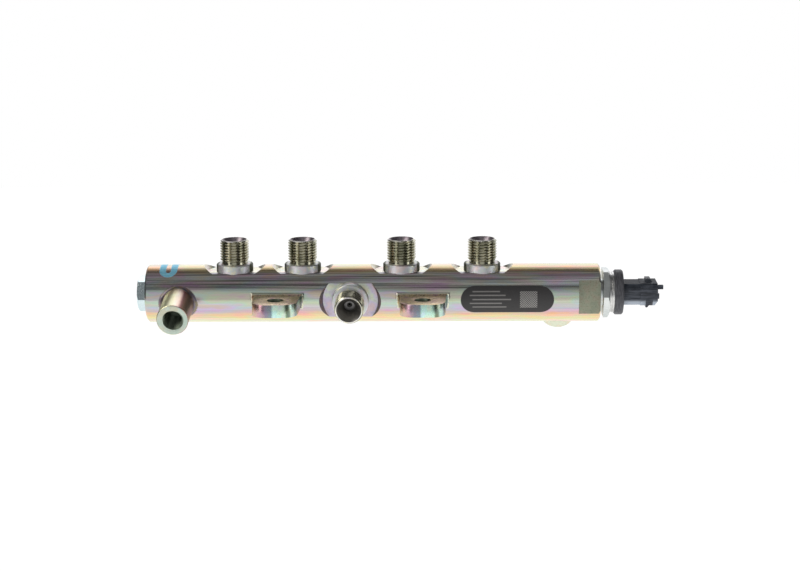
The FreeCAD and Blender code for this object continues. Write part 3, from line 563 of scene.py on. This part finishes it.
def thread_ring(mesh, height, radius_at):
    """Ring of vertices at one height, with the radius for each share of a turn."""
    ring = []
    for step in range(THREAD_TURN_STEPS):
        angle = 2 * math.pi * step / THREAD_TURN_STEPS
        radius = radius_at(height, step / THREAD_TURN_STEPS)
        ring.append(mesh.verts.new(metres(radius * math.cos(angle), radius * math.sin(angle), height)))
    return ring


def thread_mesh(name, low, high, root, crest, envelope, hidden):
    """Closed sleeve of one thread. Its hidden side is a plain cylinder inside the wall."""

    def threaded(height, share):
        phase = (height / THREAD_PITCH - share) % 1.0
        ridge = min(1.0, max(0.0, 1.5 - 4.0 * abs(phase - 0.5)))
        return envelope(height, root + (crest - root) * ridge)

    def plain(height, share):
        return hidden

    mesh = bmesh.new()
    rows = int(round((high - low) / THREAD_PITCH * THREAD_ROWS_PER_TURN))
    rings = [thread_ring(mesh, low + (high - low) * row / rows, threaded) for row in range(rows + 1)]
    rings += [thread_ring(mesh, end, plain) for end in (high, low)]
    for ring, following in zip(rings, rings[1:] + rings[:1]):
        for step in range(THREAD_TURN_STEPS):
            ahead = (step + 1) % THREAD_TURN_STEPS
            mesh.faces.new((ring[step], ring[ahead], following[ahead], following[step]))
    bmesh.ops.recalc_face_normals(mesh, faces=mesh.faces)
    data = bpy.data.meshes.new(name)
    mesh.to_mesh(data)
    mesh.free()
    data.shade_smooth()
    data.set_sharp_from_angle(angle=THREAD_EDGE_TURN)
    return data


def outside_envelope(height, radius):
    """Chamfer at the tip and run-out at the neck of an outside thread."""
    from_tip = PORT_NECK_RADIUS + (PORT_REACH - height)
    from_neck = PORT_NECK_RADIUS + (height - PORT_NECK_TOP)
    return max(PORT_NECK_RADIUS - 0.1, min(radius, from_tip, from_neck))


def inside_envelope(height, radius):
    """Chamfer at the mouth of the stub's inside thread."""
    from_mouth = STUB_THREAD_MOUTH - (STUB_REACH - 0.02 - height)
    return min(STUB_THREAD_RADIUS + 0.08, max(radius, from_mouth))


def port_thread(count, port):
    """Outside thread of one port, which rises from a core of the neck's radius."""
    sleeve = thread_mesh("thread_%d" % count, PORT_NECK_TOP, PORT_REACH - 0.02, PORT_NECK_RADIUS - 0.02,
                         PORT_THREAD_RADIUS, outside_envelope, PORT_NECK_RADIUS - 0.15)
    sleeve.transform(port_frame(*port))
    return sleeve


def stub_thread():
    """Inside thread of the stub, whose crests lie on the CAD hole's wall."""
    sleeve = thread_mesh("thread_inside", STUB_REACH - STUB_THREAD_LENGTH, STUB_REACH, STUB_THREAD_RADIUS,
                         STUB_HOLE_RADIUS, inside_envelope, STUB_THREAD_RADIUS + 0.1)
    sleeve.transform(port_frame(*STUB))
    return sleeve


# The forging: the CAD solid with softened edges, joined with its threads.

# A face looks along a direction when this much of its normal does.
LOOKS_ALONG = 0.97
LOOKS_SIDEWAYS = 0.98
LOOKS_UP = 0.7
FORGED_EDGE = 1.0
MACHINED_EDGE = 0.28


def resize_wall(mesh, to_axis, heights, radii, new_radius):
    """Give a new radius to the round wall that is found between two heights and two radii."""
    back = to_axis.inverted()
    for vertex in mesh.verts:
        radius, height = round_place(to_axis, vertex.co)
        if heights[0] < height < heights[1] and radii[0] < radius < radii[1]:
            local = to_axis @ vertex.co
            local.x *= new_radius / radius
            local.y *= new_radius / radius
            vertex.co = back @ local


def make_room_for_threads(mesh):
    """Slim the ports to their threads' core, and widen the stub's hole to just behind its thread."""
    for port in PORTS:
        resize_wall(mesh, port_frame(*port).inverted(), (PORT_NECK_TOP - 0.5, PORT_REACH + 0.1),
                    (PORT_NECK_RADIUS + 0.05, PORT_THREAD_RADIUS + 0.05), PORT_NECK_RADIUS)
    resize_wall(mesh, port_frame(*STUB).inverted(), (STUB_REACH - STUB_HOLE_DEPTH - 0.1, STUB_REACH + 0.1),
                (STUB_HOLE_RADIUS - 0.1, STUB_THREAD_RADIUS - 0.1), STUB_THREAD_RADIUS + 0.05)


def edge_width(edge):
    """Width of the softened edge, in millimetres: none at the stub's root, wide on the forged lugs."""
    middle = (edge.verts[0].co + edge.verts[1].co) / 2
    radius, height = round_place(port_frame(*STUB).inverted(), middle)
    if height < RAIL_RADIUS + 8.0 and abs(radius - STUB_RADIUS) < 0.3:
        return 0.0
    x, y, z = millimetres(middle)
    aside = abs(abs(x) - LUG_STATION)
    on_lug = aside < 15.5 and y < AXIS_Y - RAIL_RADIUS - 1.0 and -0.2 < z < LUG_THICKNESS + 0.3
    in_hole = math.hypot(aside, y) < LUG_HOLE_RADIUS + 0.5
    return FORGED_EDGE if on_lug and not in_hole else MACHINED_EDGE


def bevelled(data):
    """A mesh's copy whose edges are rounded as wide as their weights say in millimetres."""
    plain = bpy.data.objects.new("rail_forging_plain", data)
    bpy.context.collection.objects.link(plain)
    bevel = plain.modifiers.new("soft_edges", "BEVEL")
    bevel.width = 1.0 * MM
    bevel.segments = 2
    bevel.limit_method = "WEIGHT"
    bevel.use_clamp_overlap = True
    result = bpy.data.meshes.new_from_object(plain.evaluated_get(bpy.context.evaluated_depsgraph_get()))
    bpy.data.objects.remove(plain)
    return result


def forging_mesh():
    """The CAD forging, slimmed under its threads, with softened edges."""
    mesh = bmesh.new()
    mesh.from_mesh(nodes["rail_body"].data)
    bmesh.ops.remove_doubles(mesh, verts=mesh.verts, dist=WELD_DISTANCE * MM)
    make_room_for_threads(mesh)
    bmesh.ops.remove_doubles(mesh, verts=mesh.verts, dist=WELD_DISTANCE * MM)
    bmesh.ops.dissolve_degenerate(mesh, edges=mesh.edges, dist=WELD_DISTANCE * MM)
    weights = mesh.edges.layers.float.new("bevel_weight_edge")
    for edge in mesh.edges:
        if len(edge.link_faces) == 2 and edge.calc_face_angle(0.0) > FORGING_EDGE_TURN:
            edge[weights] = edge_width(edge)
    data = bpy.data.meshes.new("rail_forging")
    mesh.to_mesh(data)
    mesh.free()
    softened = bevelled(data)
    softened.shade_smooth()
    softened.set_sharp_from_angle(angle=EDGE_TURN)
    return softened


ZONES = {"bar": bar_zinc, "thread": thread_zinc, "bore": bore_steel, "collar": collar_zinc,
         "spot": spot_zinc, "lug_top": lug_top_zinc, "lug_side": lug_side_zinc, "stub": stub_zinc,
         "stub_face": stub_face_zinc, "flat": flat_zinc, "rim": rim_zinc, "pad": pad_zinc,
         "mouth": mouth_steel_painted_light, "stub_bore": stub_bore_steel, "inlet_spot": inlet_spot_zinc,
         "inlet_wall": painted_shade_zinc, "stub_root": painted_shade_zinc}
ZONE_ORDER = list(ZONES)


def port_zone(radius, height, from_axis, along, is_outlet):
    """Zone of a spot seen from one port, or None where the port has no part in it."""
    if PORT_MOUTH_RADIUS - 0.3 < radius < PORT_BASE_RADIUS and height > PORT_REACH - 0.4:
        return "rim"
    if radius < PORT_MOUTH_RADIUS + 0.05 and height > SPOT_FLOOR - 0.8:
        return "mouth" if is_outlet else "bore"
    if radius < PORT_BASE_RADIUS + 0.1 and height > PORT_BASE_TOP + 0.05:
        return "thread"
    if radius < PORT_BASE_RADIUS + 0.1 and height > SPOT_FLOOR - 0.3:
        return "collar"
    if radius < SPOT_LIMIT and height > SPOT_FLOOR - 0.3 and from_axis < RAIL_RADIUS - 0.04:
        if is_outlet:
            return "spot"
        return "inlet_spot" if along > LOOKS_ALONG else "inlet_wall"
    return None


def stub_zone(radius, height, from_axis):
    """Zone of a spot seen from the stub, or None where the stub has no part in it."""
    beside = STUB_RADIUS + 0.05 < radius < STUB_RADIUS + 3.0
    if beside and height > RAIL_RADIUS / 2 and from_axis > RAIL_RADIUS + 0.02:
        return "stub_root"
    if radius < STUB_RADIUS + 0.1 and height > STUB_REACH - 0.1:
        return "stub_face"
    if radius < STUB_THREAD_RADIUS + 0.2 and height > RAIL_RADIUS - 2.0:
        return "stub_bore"
    if radius < STUB_RADIUS + 0.4 and height > RAIL_RADIUS:
        return "stub"
    return None


def lug_zone(x, y, normal):
    """Zone of a spot on a lug, or None where no lug is."""
    aside = abs(abs(x) - LUG_STATION)
    if y > AXIS_Y - RAIL_RADIUS - 0.4 or aside > 16.0:
        return None
    if math.hypot(aside, y) < LUG_HOLE_RADIUS + 0.3 and abs(normal.z) < LOOKS_UP:
        return "stub_bore"
    return "lug_top" if normal.z > LOOKS_UP else "lug_side"


def zone_of(centre, normal):
    """Zone of the forging that a face belongs to, from its centre and normal."""
    x, y, z = millimetres(centre)
    from_axis = math.hypot(y - AXIS_Y, z - AXIS_Z)
    for port in PORTS:
        to_port = port_frame(*port).inverted()
        along = (to_port.to_3x3() @ normal).z
        zone = port_zone(*round_place(to_port, centre), from_axis, along, port in OUTLETS)
        if zone:
            return zone
    at_stub = round_place(port_frame(*STUB).inverted(), centre)
    zone = stub_zone(*at_stub, from_axis) or lug_zone(x, y, normal)
    if zone:
        return zone
    if x > FLAT_START and abs(normal.y) > LOOKS_SIDEWAYS:
        return "flat"
    return "pad" if from_axis > RAIL_RADIUS + 0.3 else "bar"


def round_normals(data):
    """Corner normals of the bar and the stub taken from their axes, so that long faces reflect evenly."""
    rail_frame = Matrix.Translation(metres(0.0, AXIS_Y, AXIS_Z)) @ Matrix.Rotation(math.radians(90), 4, "Y")
    rounds = {"bar": (rail_frame, RAIL_RADIUS), "stub": (port_frame(*STUB), STUB_RADIUS)}
    normals = [corner.vector.copy() for corner in data.corner_normals]
    for face in data.polygons:
        zone = ZONE_ORDER[face.material_index]
        if zone not in rounds:
            continue
        axis_frame, radius = rounds[zone]
        to_axis = axis_frame.inverted()
        for corner in face.loop_indices:
            local = to_axis @ data.vertices[data.loops[corner].vertex_index].co
            outward = (axis_frame.to_3x3() @ Vector((local.x, local.y, 0.0))).normalized()
            on_round = abs(math.hypot(local.x, local.y) / MM - radius) < 0.02
            if on_round and outward.dot(face.normal) > LOOKS_ALONG:
                normals[corner] = outward
    data.normals_split_custom_set(normals)


def build_forging():
    """Join the forging and its threads into one piece with a material for each zone."""
    meshes = [forging_mesh()]
    meshes += [port_thread(count, port) for count, port in enumerate(PORTS, start=1)]
    meshes.append(stub_thread())
    whole = bmesh.new()
    for mesh in meshes:
        whole.from_mesh(mesh)
    for face in whole.faces:
        face.material_index = ZONE_ORDER.index(zone_of(face.calc_center_median(), face.normal))
    data = bpy.data.meshes.new("rail_forging")
    whole.to_mesh(data)
    whole.free()
    round_normals(data)
    piece = bpy.data.objects.new("rail_forging", data)
    bpy.context.collection.objects.link(piece)
    for material in ZONES.values():
        data.materials.append(material)
    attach(piece, "root")
    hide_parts("rail_body")


# Floor, light and camera.

WHITE = (1.0, 1.0, 1.0)
# The floor's left, right, near and far edges, and its height.
FLOOR_EDGES = (-450.0, 550.0, -240.0, 900.0)
FLOOR_HEIGHT = -75.0
FLOOR_GREY = (0.30, 0.30, 0.30)
FLOOR_GLOW = 0.93

# Brightness of the studio: turning up from the front over the rail, and round it from the front to the right.
OVER_THE_RAIL = [
    (-180, 1.0), (-30, 1.0), (-22, 0.74), (0, 0.66), (14, 0.54), (21, 0.36), (27, 0.20), (32, 0.13),
    (40, 0.10), (47, 0.075), (54, 0.13), (66, 0.16), (90, 0.18), (98, 0.15), (105, 0.09), (113, 0.09),
    (118, 0.14), (124, 0.40), (131, 0.90), (138, 1.45), (156, 1.60), (166, 1.0), (180, 1.0)]
ROUND_THE_RAIL = [
    (-180, 1.0), (-158, 0.9), (-146, 0.30), (-120, 0.10), (-92, 0.04), (-56, 0.05), (-51, 1.90),
    (-43, 1.90), (-38, 0.15), (-16, 0.15), (-8, 0.80), (5, 0.80), (14, 0.15), (28, 0.05), (54, 0.06),
    (59, 2.20), (70, 2.20), (76, 0.08), (106, 0.03), (128, 0.30), (138, 1.0), (180, 1.0)]
OVERHEAD = 0.07
RIGHT_PANEL_SHARE = 0.28
LEFT_PANEL_COLOR = (2.6, 2.5, 2.4)

# The camera stands square before one station, raised above its line of sight, and is turned to another.
CAMERA_STATION = 54.6
LOOK_STATION = 26.9
CAMERA_DISTANCE = 1014.0
CAMERA_RISE = 3.9
CAMERA_ELEVATION = math.radians(12.2)
CAMERA_ROLL = math.radians(-0.18)


def stage_floor():
    """White sheet that keeps a faint shadow. It ends before the camera, so low reflections pass its edge."""
    left, right, near, far = FLOOR_EDGES
    corners = [metres(x, y, 0.0) for x, y in ((left, near), (right, near), (right, far), (left, far))]
    data = bpy.data.meshes.new("floor")
    data.from_pydata(corners, [], [(0, 1, 2, 3)])
    floor = bpy.data.objects.new("floor", data)
    floor.location = metres(0.0, 0.0, FLOOR_HEIGHT)
    bpy.context.collection.objects.link(floor)
    material = bpy.data.materials.new("pale_floor")
    g = Graph(material)
    diffuse = g.add("ShaderNodeBsdfDiffuse", {"Color": (*FLOOR_GREY, 1.0)})
    glow = g.add("ShaderNodeEmission", {"Color": (*WHITE, 1.0), "Strength": FLOOR_GLOW})
    both = g.add("ShaderNodeAddShader", {0: diffuse.outputs[0], 1: glow.outputs[0]})
    g.surface("ShaderNodeOutputMaterial", both)
    data.materials.append(material)


def grey(level):
    """A very slightly blue grey."""
    return (level, level, level * 1.03)


def stage_world():
    """Studio all round: dark overhead and at the sides, white behind, grey in front, white for the camera."""
    world = bpy.data.worlds.new("studio")
    bpy.context.scene.world = world
    g = Graph(world)
    # The parts of a direction, each from -1 to 1.
    x, y, z = g.split(g.add("ShaderNodeTexCoord").outputs["Generated"])
    front = g.product(y, -1.0)

    def sweep(rise, stops):
        return g.turn_ramp(g.degrees(rise, front), [(degree, grey(level)) for degree, level in stops])

    around = g.mix(g.step(z, 0.25, 0.50), sweep(x, ROUND_THE_RAIL), grey(OVERHEAD))
    right_panel = g.product(g.window(z, (0.55, 0.72), (0.96, 0.90)), g.step(y, 0.0, -0.1),
                            g.step(x, 0.0, 0.05), RIGHT_PANEL_SHARE)
    over = g.mix(right_panel, sweep(z, OVER_THE_RAIL), WHITE)
    light = g.mix(g.step(g.size(x), 0.20, 0.42), over, around)
    left_panel = g.product(g.window(z, (0.10, 0.22), (0.90, 0.80)),
                           g.window(x, (-0.42, -0.52), (-0.85, -0.75)), g.step(y, 0.0, -0.15))
    light = g.mix(left_panel, light, LEFT_PANEL_COLOR)
    camera_ray = g.add("ShaderNodeLightPath").outputs["Is Camera Ray"]
    color = g.mix(camera_ray, light, WHITE)
    background = g.add("ShaderNodeBackground", {"Color": color, "Strength": 1.0})
    g.surface("ShaderNodeOutputWorld", background)


def stage_camera():
    """Camera in front of the rail, looking down a little."""
    camera = bpy.data.cameras.new("camera")
    camera.lens = 82.35
    camera.sensor_width = 36.0
    camera.clip_start, camera.clip_end = 0.05, 20.0
    away = Vector((0.0, -math.cos(CAMERA_ELEVATION), math.sin(CAMERA_ELEVATION)))
    up = Vector((0.0, math.sin(CAMERA_ELEVATION), math.cos(CAMERA_ELEVATION)))
    level = Euler((math.radians(90) - CAMERA_ELEVATION, 0, 0)).to_matrix().to_4x4()
    yaw = math.atan((CAMERA_STATION - LOOK_STATION) / CAMERA_DISTANCE)
    turn = Matrix.Rotation(yaw, 4, up) @ level @ Matrix.Rotation(CAMERA_ROLL, 4, "Z")
    holder = bpy.data.objects.new("camera", camera)
    holder.location = (metres(CAMERA_STATION, AXIS_Y, AXIS_Z) + away * (CAMERA_DISTANCE * MM)
                       + up * CAMERA_RISE * MM)
    holder.rotation_euler = turn.to_euler()
    bpy.context.collection.objects.link(holder)
    bpy.context.scene.camera = holder


finish_pieces()
build_forging()
stage_floor()
stage_world()
stage_camera()
bpy.context.scene.view_settings.view_transform = "Standard"
